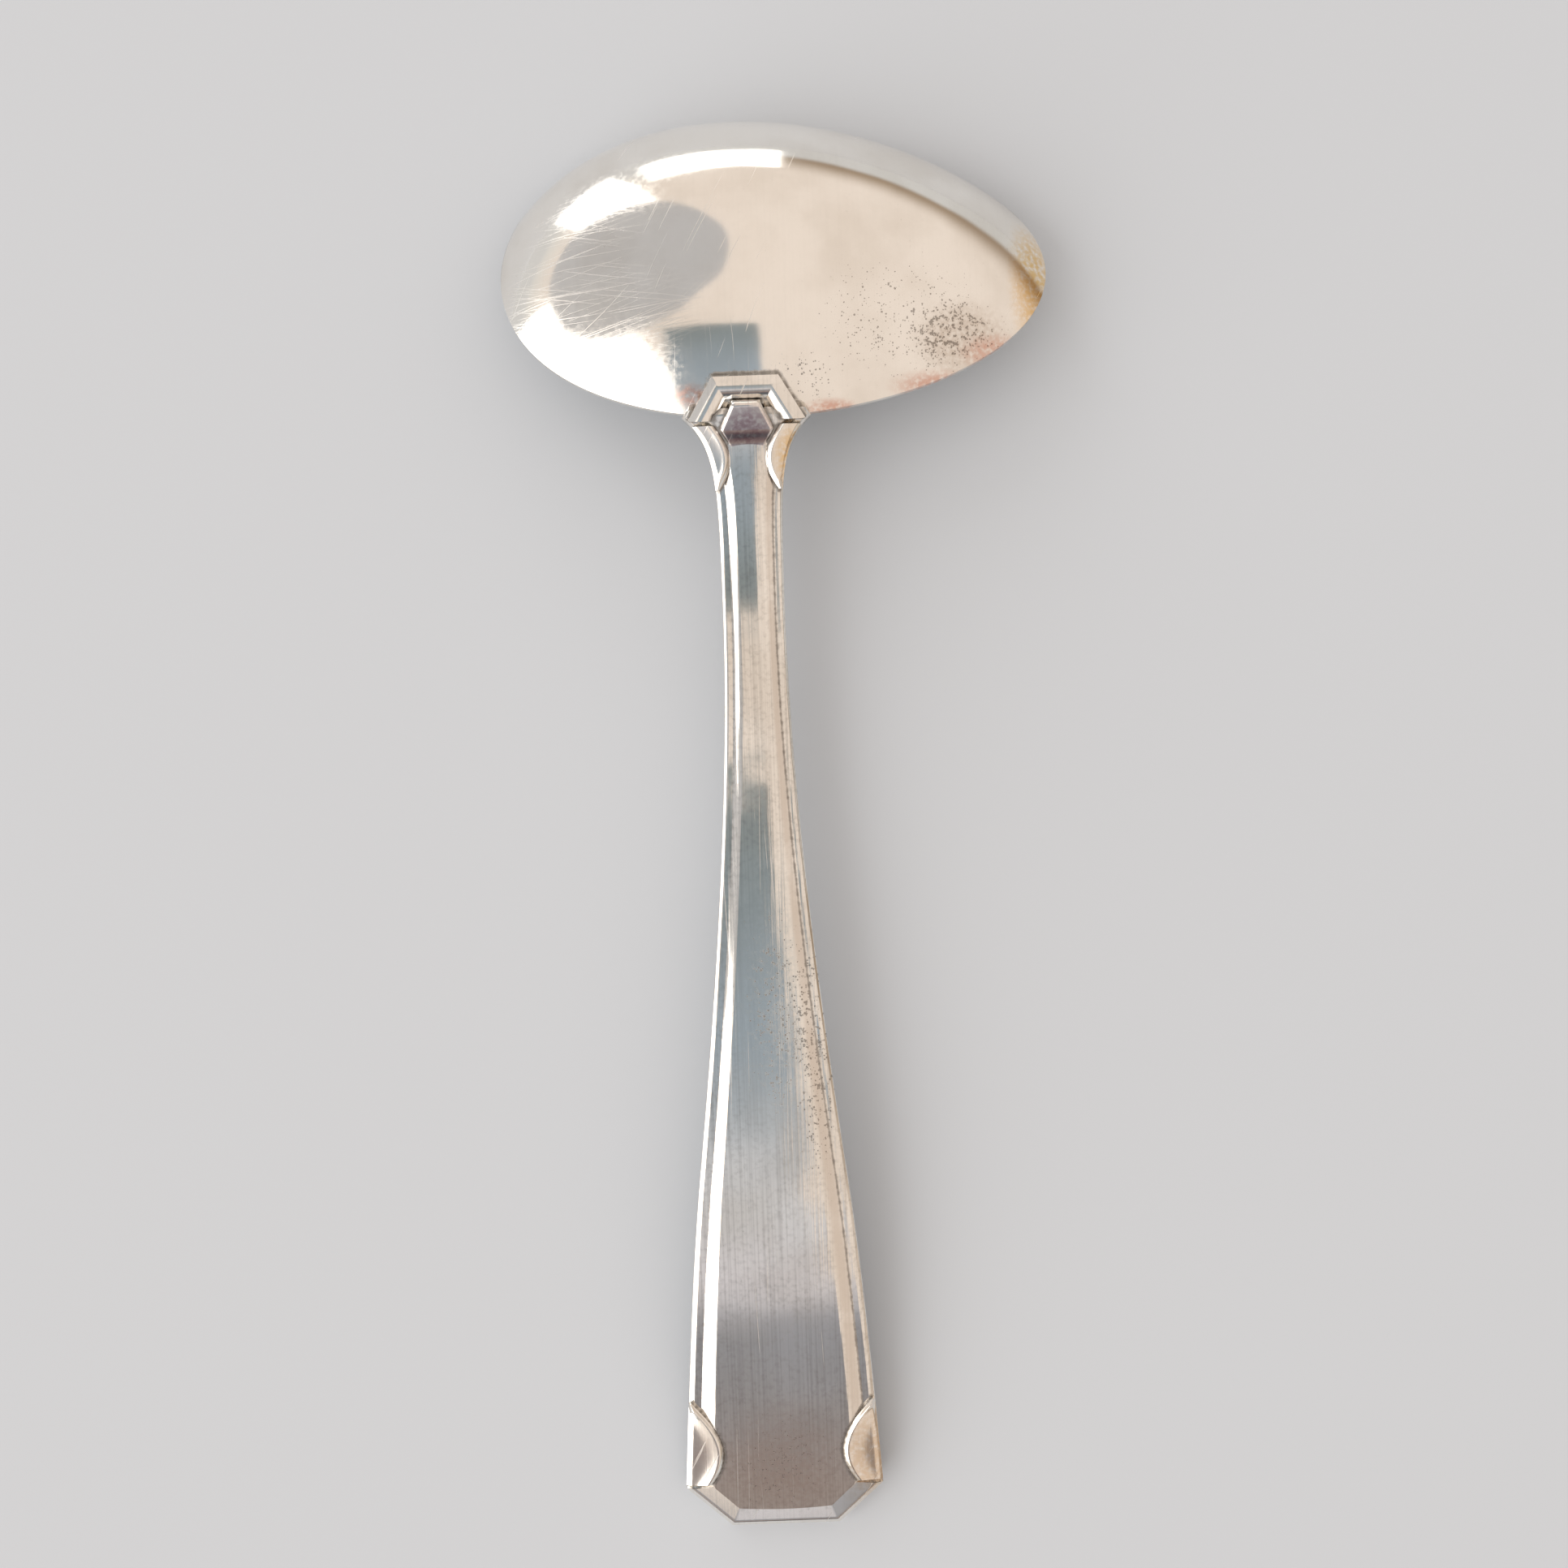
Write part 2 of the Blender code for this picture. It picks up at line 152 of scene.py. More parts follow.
# Heel ornaments: the frame leans on the bowl's back, the boss on the end of the handle
FRAME_SLOPE = math.radians(20.0)
FRAME_DIP = 0.0002
FRAME_PLACE = -0.0004
FRAME_DEPTH = 0.0022
FRAME_WIDTH = 0.0112
FRAME_TOP_WIDTH = 0.0063
FRAME_LENGTH = 0.0041
FRAME_BAR_WIDTH = 0.0021
FRAME_RISE = 0.0004
FRAME_BAR_POINTS = 19
BOSS_SLOPE = math.radians(32.0)
BOSS_DEPTH = 0.0016
BOSS_WIDTH = 0.0052
BOSS_TOP_WIDTH = 0.0027
BOSS_FOOT_WIDTH = 0.0036
BOSS_LENGTH = 0.0044
BOSS_SHOULDER = 0.0017
BOSS_FOOT_PLACE = -0.0030
BOSS_RISE = 0.0005
BOSS_BEVEL = 0.0004
BOSS_FADE = 0.0012
BOSS_SINK = 0.00003
BOSS_RUNOUT = 0.0019
BOSS_RINGS = 60
BOSS_EDGE_POINTS = 9
SEAT_MARGIN = 0.0004
SEAT_STEPS = 45

# Edges sharper than this stay sharp in the shading
SHARP_ANGLE = math.radians(40.0)

# Silver: colours, noise cells per metre, heights in micrometres, pairs of limits that noise is read between
SHAPED_NODES = ("bowl", "handle")
BRIGHT_SILVER = (0.95, 0.92, 0.87, 1.0)
DULL_SILVER = (0.84, 0.80, 0.74, 1.0)
# Dark silver for brushing, grain, specks, and patina with painted shade in the crevices
PATINA_AND_SHADE = (0.085, 0.065, 0.050, 1.0)
GOLD = (0.80, 0.56, 0.28, 1.0)
COPPER = (0.72, 0.48, 0.40, 1.0)
MAUVE = (0.52, 0.39, 0.41, 1.0)
UMBER = (0.80, 0.71, 0.65, 1.0)
PEWTER = (0.80, 0.79, 0.75, 1.0)
OCHRE = (0.74, 0.60, 0.46, 1.0)
# Smudge on the bowl's lip, and grime with painted shade along the handle's right step
SMUDGE_AND_SHADE = (0.70, 0.63, 0.56, 1.0)
CLOUD_CELLS = 110.0
CLOUD_DETAIL = 5.0
CLOUD_LIMITS = (0.35, 0.68)
GRAIN_CELLS = 2100.0
GRAIN_DETAIL = 3.0
DRIFT_CELLS = 70.0
WAVE_CELLS = 140.0
BRUSH_CELLS = (45.0, 5200.0)
BRUSH_LIMITS = (0.40, 0.75)
MOTTLE_LIMITS = (0.45, 0.70)
TINT_COVER = (0.15, 0.65)
PATCH_CORE = 0.3
SPECK_CELLS = 5000.0
SPECK_SHARE = 0.5
SPECK_DARKNESS = 0.58
SPECK_GROWTH = 0.66
SPECK_SOFTNESS = 0.06
SPECK_COVER = (0.30, 0.62)
SCRATCH_SOFTNESS = 0.05
MICRON = 1e-6
WAVE_HEIGHT = 60.0
BRUSH_HEIGHT = 3.4
SCRATCH_DEPTH = 1.0
PATINA_DEPTH = 3.0
PATINA_AND_SHADE_START = 0.35
PATINA_AND_SHADE_GRAIN = 0.7
PATINA_AND_SHADE_LIMITS = (0.25, 0.95)
CLOUD_ROUGHNESS = 0.05
BRUSH_ROUGHNESS = 0.04
BRUSH_SHADE = 0.19
MOTTLE_SHADE = 0.13
SCRATCH_ROUGHNESS = 0.20
PATINA_ROUGHNESS = 0.35
HAZE_COVER = (0.30, 0.75)
# Darker band along the handle's right step: grime, and painted shade on the side away from the window
SHADE_AND_STAIN_SHARE = 0.85
SHADE_AND_STAIN_CLOUDS = (0.25, 0.55)

# Marks on the pieces, for patina and painted shade: the reach is for ornaments and for shaped nodes, the
# groove's mark for left and right, stronger at the right as painted shade on the side away from the window
CREVICE_REACH = (0.00028, 0.0005)
BAR_MARK = 0.3
GROOVE_REACH = 0.00016
GROOVE_PATINA_AND_SHADE = (0.45, 0.8)
CLEAN_FOOT = 0.0024
CLEAN_FADE = 0.0010
CLEAN_EDGE = 0.0002

# Floor, cards and lamps: pairs of angles are an azimuth and an angle from straight up, in degrees
FLOOR_SIZE = 6.0
FLOOR_PLACE = (0.0, 0.0, -0.0001)
FLOOR_COLOUR = (0.56, 0.60, 0.65, 1.0)
FLOOR_ROUGHNESS = 0.9
CARD_HEIGHT = 0.186
CARD_LEFT = -0.076
CARD_ROUGHNESS = 0.8
DISC_ANGLES = (152.0, 38.0)
DISC_RADIUS = math.radians(29.0)
DISC_DISTANCE = 0.6
DISC_AIM = (-0.012, 0.053, 0.012)
DISC_COLOUR = (0.80, 0.80, 0.81, 1.0)
DISC_SEGMENTS = 96
LAMP_DISTANCE = 4.0
LAMP_COLOUR = (1.0, 0.99, 0.97)

# Colours of the cards' edges, from the bowl's side to beyond the handle's end
SLATE = (0.38, 0.44, 0.46, 1.0)
BLUE = (0.52, 0.62, 0.71, 1.0)
PALE = (0.96, 0.97, 1.0, 1.0)
LAVENDER = (0.98, 0.96, 1.0, 1.0)
GREY = (0.46, 0.47, 0.51, 1.0)
BROWN = (0.49, 0.42, 0.39, 1.0)
PLUM = (0.27, 0.20, 0.21, 1.0)
DARK = (0.16, 0.18, 0.20, 1.0)

# Room: colours, and the parts of a direction's X or Z that they change between
HORIZON_COLOUR = (0.66, 0.65, 0.64, 1.0)
LOW_LEFT_COLOUR = (0.75, 0.72, 0.68, 1.0)
LOW_RIGHT_COLOUR = (0.34, 0.25, 0.17, 1.0)
DOME_COLOUR = (0.86, 0.76, 0.68, 1.0)
HORIZON_LIMITS = (0.15, 0.23)
DOME_LIMITS = (0.20, 0.46)
SIDE_LIMITS = (-0.35, 0.30)

# Camera: its focal length is given in pixels of the photo
CAMERA_PLACE = (-0.00065, 0.00422, 0.1816)
CAMERA_ROLL = math.radians(-2.0)
CAMERA_NEAR = 0.005
SENSOR_WIDTH = 36.0
LENS_PIXELS = 2200.0
PHOTO_PIXELS = 1932.0

# Places that follow from the sizes
HEEL_HEIGHT = BOWL_LENGTH * math.sin(BOWL_TILT)
RIM_HALF = 0.5 * BOWL_LENGTH * math.cos(BOWL_TILT)
BACK_DROP = 1.0 - math.cos(BOWL_FULLNESS)
BACK_REACH = (BOWL_LEAN * math.cos(BOWL_TILT) + BOWL_DEPTH * math.sin(BOWL_TILT)) / BACK_DROP
FAR_REACH = math.hypot(RIM_HALF / math.sin(BOWL_FULLNESS), BACK_REACH) - BACK_REACH * math.cos(BOWL_FULLNESS)
BOWL_REACH = RIM_HALF + FAR_REACH
HEEL_Y = 0.5 * (HANDLE_LENGTH - BOWL_REACH)
AXIS_X = -LIP_REACH
SHOULDER_PLACE = HANDLE_LENGTH - CORNER_LENGTH
REST_PLACE = HANDLE_LENGTH - 0.5 * TIP_BAR_WIDTH
ARCH_PLACE = ARCH_SHARE * HANDLE_LENGTH
FRAME_SEAT = HEEL_THICKNESS - FRAME_DIP
FRAME_RUN = 0.5 * (FRAME_WIDTH - FRAME_TOP_WIDTH)
FRAME_NARROWING = FRAME_RUN / (FRAME_LENGTH * math.cos(FRAME_SLOPE))
BOWL_MIDDLE = (AXIS_X, HEEL_Y + RIM_HALF, 0.5 * HEEL_HEIGHT)
FRAME_FOOT = (AXIS_X, HEEL_Y, HEEL_HEIGHT + FRAME_SEAT)
BOSS_FOOT = (AXIS_X, HEEL_Y, HEEL_HEIGHT + HEEL_THICKNESS)
BOWL_PLANE = Matrix.Translation(BOWL_MIDDLE) @ Matrix.Rotation(-BOWL_TILT, 4, "X")
FRAME_PLANE = Matrix.Translation(FRAME_FOOT) @ Matrix.Rotation(FRAME_SLOPE, 4, "X")
BOSS_PLANE = Matrix.Translation(BOSS_FOOT) @ Matrix.Rotation(BOSS_SLOPE, 4, "X")

# Sockets of a node that mixes colours
MIX_SHARE, MIX_FIRST, MIX_SECOND = 0, 6, 7
MIX_RESULT = 2

# Signs of the faces and sides
BACK, FRONT = 1, -1
LEFT, RIGHT = -1, 1


def ease(start, end, x):
    """Cubic from start to end, each given as place, value and slope."""
    x0, y0, m0 = start
    x1, y1, m1 = end
    span = x1 - x0
    t = (x - x0) / span
    rise = (1 - t) ** 2 * ((1 + 2 * t) * y0 + t * span * m0)
    return rise + t * t * ((3 - 2 * t) * y1 - (1 - t) * span * m1)


def ramp(x, start, end, softness):
    """0 before start and 1 after end, straight between them, with rounded corners."""
    rise = np.logaddexp(0.0, (x - start) / softness) - np.logaddexp(0.0, (x - end) / softness)
    return rise * softness / (end - start)


def soft_least(first, second, softness):
    """The lesser of two values, rounded where they cross."""
    return -softness * np.logaddexp(-first / softness, -second / softness)


def half_round(share):
    """A rounded bar's height over 0 to 1."""
    return 1.0 - (2.0 * share - 1.0) ** 2


def skin(rings):
    """A surface through rings of equally many points, open at both ends, and the rings' vertices."""
    bm = bmesh.new()
    loops = [[bm.verts.new(point) for point in ring] for ring in rings]
    count = len(loops[0])
    for near, far in zip(loops, loops[1:]):
        for i in range(count):
            j = (i + 1) % count
            bm.faces.new((near[i], near[j], far[j], far[i]))
    return bm, loops


def loft(rings):
    """A surface through rings, closed by a face at each end."""
    bm, loops = skin(rings)
    bm.faces.new(loops[0])
    bm.faces.new(loops[-1])
    return bm


def piece(node, bm):
    """A dressed piece that rides with the spoon and stands for a node of the frame."""
    bmesh.ops.recalc_face_normals(bm, faces=bm.faces)
    mesh = bpy.data.meshes.new("silver_" + node)
    bm.to_mesh(mesh)
    bm.free()
    mesh.shade_smooth()
    mesh.set_sharp_from_angle(angle=SHARP_ANGLE)
    obj = bpy.data.objects.new("silver_" + node, mesh)
    bpy.context.scene.collection.objects.link(obj)
    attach(obj, "root")
    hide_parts(node)
    return obj


# Bowl

def egg(turn, climb, grow):
    """The bowl's outside, grown by a margin, at angles round it and an angle from the middle of its back."""
    out = math.sin(climb) / math.sin(BOWL_FULLNESS)
    up = 1.0 - (1.0 - math.cos(climb)) / BACK_DROP
    across = out * np.cos(turn)
    x = (0.5 * BOWL_WIDTH + grow) * across + LIP_REACH * across ** 2
    y = (0.5 * BOWL_LENGTH + grow) * out * np.sin(turn) + BOWL_LEAN * up
    y -= 0.5 * LIP_SET * (across + across ** 2)
    z = np.full_like(x, RIM_BAND + (BOWL_DEPTH - RIM_BAND + grow) * up)
    return np.stack([x, y, z], axis=-1)


def bowl_rings():
    """Rings round the bowl from the middle of its back, over the rim, to the middle of its inside."""
    turn = np.linspace(0.0, 2.0 * math.pi, BOWL_TURNS, endpoint=False)
    climbs = BOWL_FULLNESS * np.linspace(0.0, 1.0, BOWL_CLIMBS)[1:]
    outside = [egg(turn, climb, -BOWL_INSET) for climb in climbs]
    inside = [egg(turn, climb, -BOWL_WALL) for climb in climbs[::-2]]

    def rim(inset, height):
        ring = egg(turn, BOWL_FULLNESS, -BOWL_INSET - inset)
        ring[:, 2] = height
        return ring

    arc = np.linspace(0.0, 0.5 * math.pi, RIM_POINTS)
    edge = [(RIM_ROUNDING * (1 - math.cos(a)), RIM_ROUNDING * (1 - math.sin(a))) for a in arc]
    outer = [rim(inset, height) for inset, height in edge]
    wall = BOWL_WALL - BOWL_INSET
    inner = [rim(wall - inset, height) for inset, height in edge[::-1]]
    return outside + outer + inner + inside


def bowl_mesh():
    """The bowl's shell, closed by a fan of faces in the middle of its back and of its inside."""
    bm, loops = skin(bowl_rings())
    for loop, grow in ((loops[0], -BOWL_INSET), (loops[-1], -BOWL_WALL)):
        pole = bm.verts.new((0.0, BOWL_LEAN, BOWL_DEPTH + grow))
        for i in range(BOWL_TURNS):
            bm.faces.new((loop[i], loop[(i + 1) % BOWL_TURNS], pole))
    bm.transform(BOWL_PLANE)
    return bm


def inside_bowl(point, grow):
    """Below 0 where a point lies inside the bowl's outer surface, grown by a margin."""
    q = BOWL_PLANE.inverted() @ point
    half = 0.5 * BOWL_WIDTH + grow
    across = (math.sqrt(half * half + 4.0 * LIP_REACH * q.x) - half) / (2.0 * LIP_REACH)
    up = (q.z - RIM_BAND) / (BOWL_DEPTH - RIM_BAND + grow)
    leaning = q.y - BOWL_LEAN * up + 0.5 * LIP_SET * (across + across ** 2)
    along = leaning / (0.5 * BOWL_LENGTH + grow)
    turned = 1.0 - (1.0 - up) * BACK_DROP
    return across ** 2 + along ** 2 - (1.0 - turned ** 2) / math.sin(BOWL_FULLNESS) ** 2


# Handle

def half_width(d):
    """Half the handle's width at a distance from the heel."""
    if d > MIDDLE_PLACE:
        middle = (MIDDLE_PLACE, 0.5 * MIDDLE_WIDTH, MIDDLE_SPREAD)
        shoulder = (SHOULDER_PLACE, 0.5 * SHOULDER_WIDTH, SHOULDER_SPREAD)
        shank = ease(middle, shoulder, d)
        share = (d - SHOULDER_PLACE) / CORNER_LENGTH
        corner = 0.5 * (SHOULDER_WIDTH + share * (END_WIDTH - SHOULDER_WIDTH))
        return soft_least(shank, corner, CORNER_SOFTNESS)
    if d > NECK_PLACE:
        neck = (NECK_PLACE, 0.5 * NECK_WIDTH, 0.0)
        return ease(neck, (MIDDLE_PLACE, 0.5 * MIDDLE_WIDTH, MIDDLE_SPREAD), d)
    if d > 0.0:
        return 0.5 * NECK_WIDTH + HEEL_FLARE * math.exp(-d / FLARE_LENGTH)
    return 0.5 * NECK_WIDTH + HEEL_FLARE + d * FRAME_NARROWING


def thickness(d):
    """The handle's thickness, which shrinks evenly towards its end."""
    return NECK_THICKNESS + (TIP_THICKNESS - NECK_THICKNESS) * d / HANDLE_LENGTH


def arch(d):
    """Height of the back's arch, without the rise to the heel."""
    low = thickness(REST_PLACE) + TIP_BAR_RISE - CROWN_DROP
    share = (d - ARCH_PLACE) / (REST_PLACE - ARCH_PLACE)
    return ARCH_HEIGHT - (ARCH_HEIGHT - low) * share ** 2


def level(d, face):
    """Height of the middle of the handle's back or front."""
    rest = math.exp(-REST_PLACE / NECK_CURVE_LENGTH)
    heel = (math.exp(-d / NECK_CURVE_LENGTH) - rest) / (1.0 - rest)
    back = arch(d) + (HEEL_HEIGHT + HEEL_THICKNESS - arch(0.0)) * heel
    if face == BACK:
        return back
    return back - thickness(d) - (HEEL_THICKNESS - NECK_THICKNESS) * heel


def spread(widths, d):
    """A width that goes from its neck value to its shoulder value as the handle widens."""
    share = (2.0 * half_width(d) - NECK_WIDTH) / (SHOULDER_WIDTH - NECK_WIDTH)
    return widths[0] + share * (widths[1] - widths[0])


def strips(d):
    """Distances from the axis of the panel's, the step's, the border's and the bevel's outer edges."""
    edge = half_width(d)
    border = edge - spread(BEVEL_WIDTHS, d)
    step = border - spread(BORDER_WIDTHS, d)
    return step - spread(STEP_WIDTHS, d), step, border, edge


def half_section(d):
    """Distances from the axis and drops below the middle, from the middle to the rounded edge."""
    panel, step, border, edge = strips(d)
    x = np.concatenate([
        np.linspace(0.0, panel, PANEL_POINTS, endpoint=False),
        np.linspace(panel, step, STEP_POINTS, endpoint=False),
        np.linspace(step, border, BORDER_POINTS, endpoint=False),
        np.linspace(border, edge - EDGE_ROUNDING, BEVEL_POINTS),
    ])
    low = CROWN_DROP + STEP_DROP
    raised = min(1.0, (HANDLE_LENGTH - d) / END_SLOPE_LENGTH)
    full = CROWN_DROP * np.minimum(x / panel, 1.0) ** 2 + STEP_DROP * ramp(x, panel, step, STEP_SOFTNESS)
    drop = low - raised * (low - full) + BEVEL_DROP * ramp(x, border, edge, STEP_SOFTNESS)
    corner = [(edge - EDGE_ROUNDING * inn, drop[-1] + EDGE_ROUNDING * down) for inn, down in EDGE_CORNER]
    return np.concatenate([np.stack([x, drop], axis=1), corner])


def handle_ring(d):
    """The handle's outline across. The end on the bowl's back runs level."""
    half = half_section(d)
    place = max(d, 0.0)
    across = np.concatenate([-half[:0:-1, 0], half[:, 0]])
    drops = np.concatenate([half[:0:-1, 1], half[:, 1]])
    y = np.full_like(across, HEEL_Y - d)
    back = np.stack([AXIS_X + across, y, level(place, BACK) - drops], axis=1)
    front = np.stack([AXIS_X + across, y, level(place, FRONT) + drops], axis=1)
    return np.concatenate([back, front[::-1]])


def handle_mesh():
    """The handle from its end to its seat on the bowl's back."""
    tip = HANDLE_LENGTH - END_SLOPE_LENGTH * np.linspace(0.0, 1.0, TIP_RINGS)
    corner = np.linspace(tip[-1], SHOULDER_PLACE - CORNER_MARGIN, CORNER_RINGS)[1:]
    shank = np.linspace(corner[-1], NECK_PLACE, SHANK_RINGS)[1:]
    neck = NECK_PLACE * np.linspace(1.0, 0.0, NECK_RINGS)[1:] ** NECK_CROWDING
    return loft([handle_ring(d) for d in [*tip, *corner, *shank, *neck, -HEEL_SEAT]])


# Ornaments on the handle

def on_handle(x, d, face, rise):
    """A point at a height over the edge of the handle's raised panel."""
    return (AXIS_X + x, HEEL_Y - d, level(d, face) + face * (rise - CROWN_DROP))


def leaf_mesh(side, face, places, inner_edge, tilt):
    """A leaf from the handle's edge to an inner edge: hollow, with a raised rim beside the inner edge."""
    base = -STEP_DROP - ORNAMENT_SINK
    rings = []
    for d in places:
        outer = half_width(d) - ORNAMENT_INSET
        width = outer - inner_edge(d)
        full = min(1.0, 0.5 * width / LEAF_BEVEL)
        rim = full * LEAF_BEVEL
        crest = LEAF_RIM_REACH * rim
        u = np.linspace(0.0, crest, LEAF_RIM_POINTS, endpoint=False)
        u = np.concatenate([u, np.linspace(crest, width, LEAF_FACE_POINTS)])
        beyond = np.clip((u - rim) / (width - rim), 0.0, 1.0)
        height = full * LEAF_RISE * ramp(u, 0.0, rim, LEAF_RIM_SOFTNESS * rim) - tilt * STEP_DROP * beyond
        height -= full * LEAF_HOLLOW * np.sin(math.pi * beyond)
        height -= full * LEAF_EDGE_DROP * ramp(u, width - full * LEAF_EDGE_WIDTH, width, STEP_SOFTNESS)
        outline = [(0.0, base), *zip(u, np.maximum(height, base)), (width, base)]
        rings.append([on_handle(side * (outer - width + x), d, face, rise) for x, rise in outline])
    return loft(rings)


def tip_leaf_mesh(side, face):
    """A rounded leaf that ends beside the clipped corner."""
    end = SHOULDER_PLACE - BAR_CLEARANCE

    def inner_edge(d):
        share = 1.0 - (end - d) / TIP_LEAF_LENGTH
        return half_width(d) - TIP_LEAF_REACH * math.sin(TIP_LEAF_SWEEP * share)

    places = end - TIP_LEAF_LENGTH * np.linspace(1.0 - LEAF_POINT, 0.0, LEAF_RINGS)
    return leaf_mesh(side, face, places, inner_edge, TIP_LEAF_TILT)


def neck_leaf_mesh(side, face):
    """A pointed leaf in the curve between the neck and the heel."""
    def inner_edge(d):
        share = (d - NECK_LEAF_PLACE) / NECK_LEAF_LENGTH
        return 0.5 * NECK_WIDTH - NECK_LEAF_REACH * math.sin(math.pi * share)

    places = NECK_LEAF_PLACE + NECK_LEAF_LENGTH * np.linspace(1.0 - LEAF_POINT, 0.0, LEAF_RINGS)
    return leaf_mesh(side, face, places, inner_edge, NECK_LEAF_TILT)


def mitred(outer, inner):
    """Outer and inner points along three mitred bars, from the corners of their right half."""
    lines = [np.array([(-x, y) for x, y in half] + half[::-1]) for half in (outer, inner)]
    for bar in range(3):
        for share in BAR_STOPS:
            yield [line[bar] + share * (line[bar + 1] - line[bar]) for line in lines]
    yield [line[3] for line in lines]


def tip_frame_mesh(face):
    """Three mitred bars along the clipped corners and the end."""
    run = 0.5 * (SHOULDER_WIDTH - END_WIDTH)
    corner = math.hypot(run, CORNER_LENGTH)
    wide = TIP_BAR_WIDTH + BAR_SPREAD
    top = 0.5 * SHOULDER_WIDTH - wide * (CORNER_LENGTH + run * run / CORNER_LENGTH) / corner
    mitre = wide * (corner - run) / CORNER_LENGTH
    outer = [
        (0.5 * SHOULDER_WIDTH - ORNAMENT_INSET, SHOULDER_PLACE),
        (0.5 * END_WIDTH, HANDLE_LENGTH - ORNAMENT_INSET),
    ]
    inner = [(top, SHOULDER_PLACE), (0.5 * END_WIDTH - mitre, HANDLE_LENGTH - wide)]
    base = -STEP_DROP - ORNAMENT_SINK
    shares = np.linspace(0.0, 1.0, TIP_BAR_POINTS)
    edge = (TIP_BAR_EDGE - STEP_DROP) * np.maximum(0.0, 1.0 - 2.0 * shares)
    heights = edge + TIP_BAR_RISE * half_round(shares)
    if face == BACK:
        climb = (1.0 - shares) / (1.0 - BAR_CREST)
        fall = BAR_EDGE_SHARE + (1.0 - BAR_EDGE_SHARE) * shares / BAR_CREST
        heights = BAR_CREST_RISE * soft_least(climb, fall, BAR_CREST_SOFTNESS)
    rings = []
    for out, inn in mitred(outer, inner):
        points = [(out, base), *((out + s * (inn - out), h) for s, h in zip(shares, heights)), (inn, base)]
        rings.append([on_handle(x, d, face, rise) for (x, d), rise in points])
    return loft(rings)


# Ornaments on the heel

def seat(plane, x, y, depth):
    """How deep a heel ornament reaches below its plane before it is well inside the bowl's wall."""
    for sink in np.linspace(0.0, depth, SEAT_STEPS):
        if inside_bowl(plane @ Vector((x, y, -sink)), -SEAT_MARGIN) < 0.0:
            return -sink
    return -depth


def heel_frame_mesh():
    """Three mitred bars round the top of a half hexagon, open to the handle."""
    side_bar = math.hypot(FRAME_RUN, FRAME_LENGTH)
    mitre = FRAME_BAR_WIDTH * (side_bar - FRAME_RUN) / FRAME_LENGTH
    top = FRAME_PLACE + FRAME_LENGTH
    outer = [(0.5 * FRAME_WIDTH, FRAME_PLACE), (0.5 * FRAME_TOP_WIDTH, top)]
    inner = [
        (0.5 * FRAME_WIDTH - FRAME_BAR_WIDTH * side_bar / FRAME_LENGTH, FRAME_PLACE),
        (0.5 * FRAME_TOP_WIDTH - mitre, top - FRAME_BAR_WIDTH),
    ]
    shares = np.linspace(0.0, 1.0, FRAME_BAR_POINTS)
    heights = FRAME_RISE * half_round(shares)
    rings = []
    for out, inn in mitred(outer, inner):
        ridge = [(*(out + s * (inn - out)), h) for s, h in zip(shares, heights)]
        feet = [(*point, seat(FRAME_PLANE, *point, FRAME_DEPTH)) for point in (out, inn)]
        rings.append([feet[0], *ridge, feet[1]])
    bm = loft(rings)
    bm.transform(FRAME_PLANE)
    return bm


def heel_boss_mesh():
    """A keystone plate with rounded edges, whose foot runs out into the handle's panel."""
    shoulder = BOSS_FOOT_PLACE + BOSS_SHOULDER
    top = BOSS_FOOT_PLACE + BOSS_LENGTH
    places = (BOSS_FOOT_PLACE, shoulder, top)
    widths = (BOSS_FOOT_WIDTH, BOSS_WIDTH, BOSS_TOP_WIDTH)
    arc = np.linspace(0.0, 0.5 * math.pi, BOSS_EDGE_POINTS)
    bevel = [(BOSS_BEVEL * (1.0 - math.sin(a)), BOSS_BEVEL * (1.0 - math.cos(a))) for a in arc]
    rows = [(y, 0.0) for y in np.linspace(BOSS_FOOT_PLACE - BOSS_FADE, top - BOSS_BEVEL, BOSS_RINGS)]
    rows += [(top - inset, down) for inset, down in bevel[1:]]
    rings = []
    for y, drop in rows:
        half = 0.5 * np.interp(y, places, widths)
        edge = [(half - inset, BOSS_RISE - drop - down) for inset, down in bevel]
        edge = [(half, seat(BOSS_PLANE, half, y, BOSS_DEPTH))] + edge[::-1]
        rings.append([(x, y, z) for x, z in edge] + [(-x, y, z) for x, z in edge[::-1]])
    bm = loft(rings)
    for v in bm.verts:
        run = np.clip((shoulder - v.co.y) / BOSS_RUNOUT, 0.0, 1.0)
        over = BOSS_PLANE @ Vector((0.0, v.co.y, BOSS_RISE))
        sink = over.z - level(HEEL_Y - over.y, BACK) + BOSS_SINK
        v.co = BOSS_PLANE @ v.co
        v.co.z -= sink * run * run * (3.0 - 2.0 * run)
    return bm


def build_pieces():
    """All pieces, by the node that each stands for."""
    made = {
        "bowl": piece("bowl", bowl_mesh()),
        "handle": piece("handle", handle_mesh()),
        "heel_frame": piece("heel_frame", heel_frame_mesh()),
        "heel_boss": piece("heel_boss", heel_boss_mesh()),
    }
    for face_name, face in (("back", BACK), ("front", FRONT)):
        for side_name, side in (("left", LEFT), ("right", RIGHT)):
            ending = face_name + "_" + side_name
            made["neck_leaf_" + ending] = piece("neck_leaf_" + ending, neck_leaf_mesh(side, face))
            made["tip_leaf_" + ending] = piece("tip_leaf_" + ending, tip_leaf_mesh(side, face))
        made["tip_frame_" + face_name] = piece("tip_frame_" + face_name, tip_frame_mesh(face))
    return made


# Shader nodes

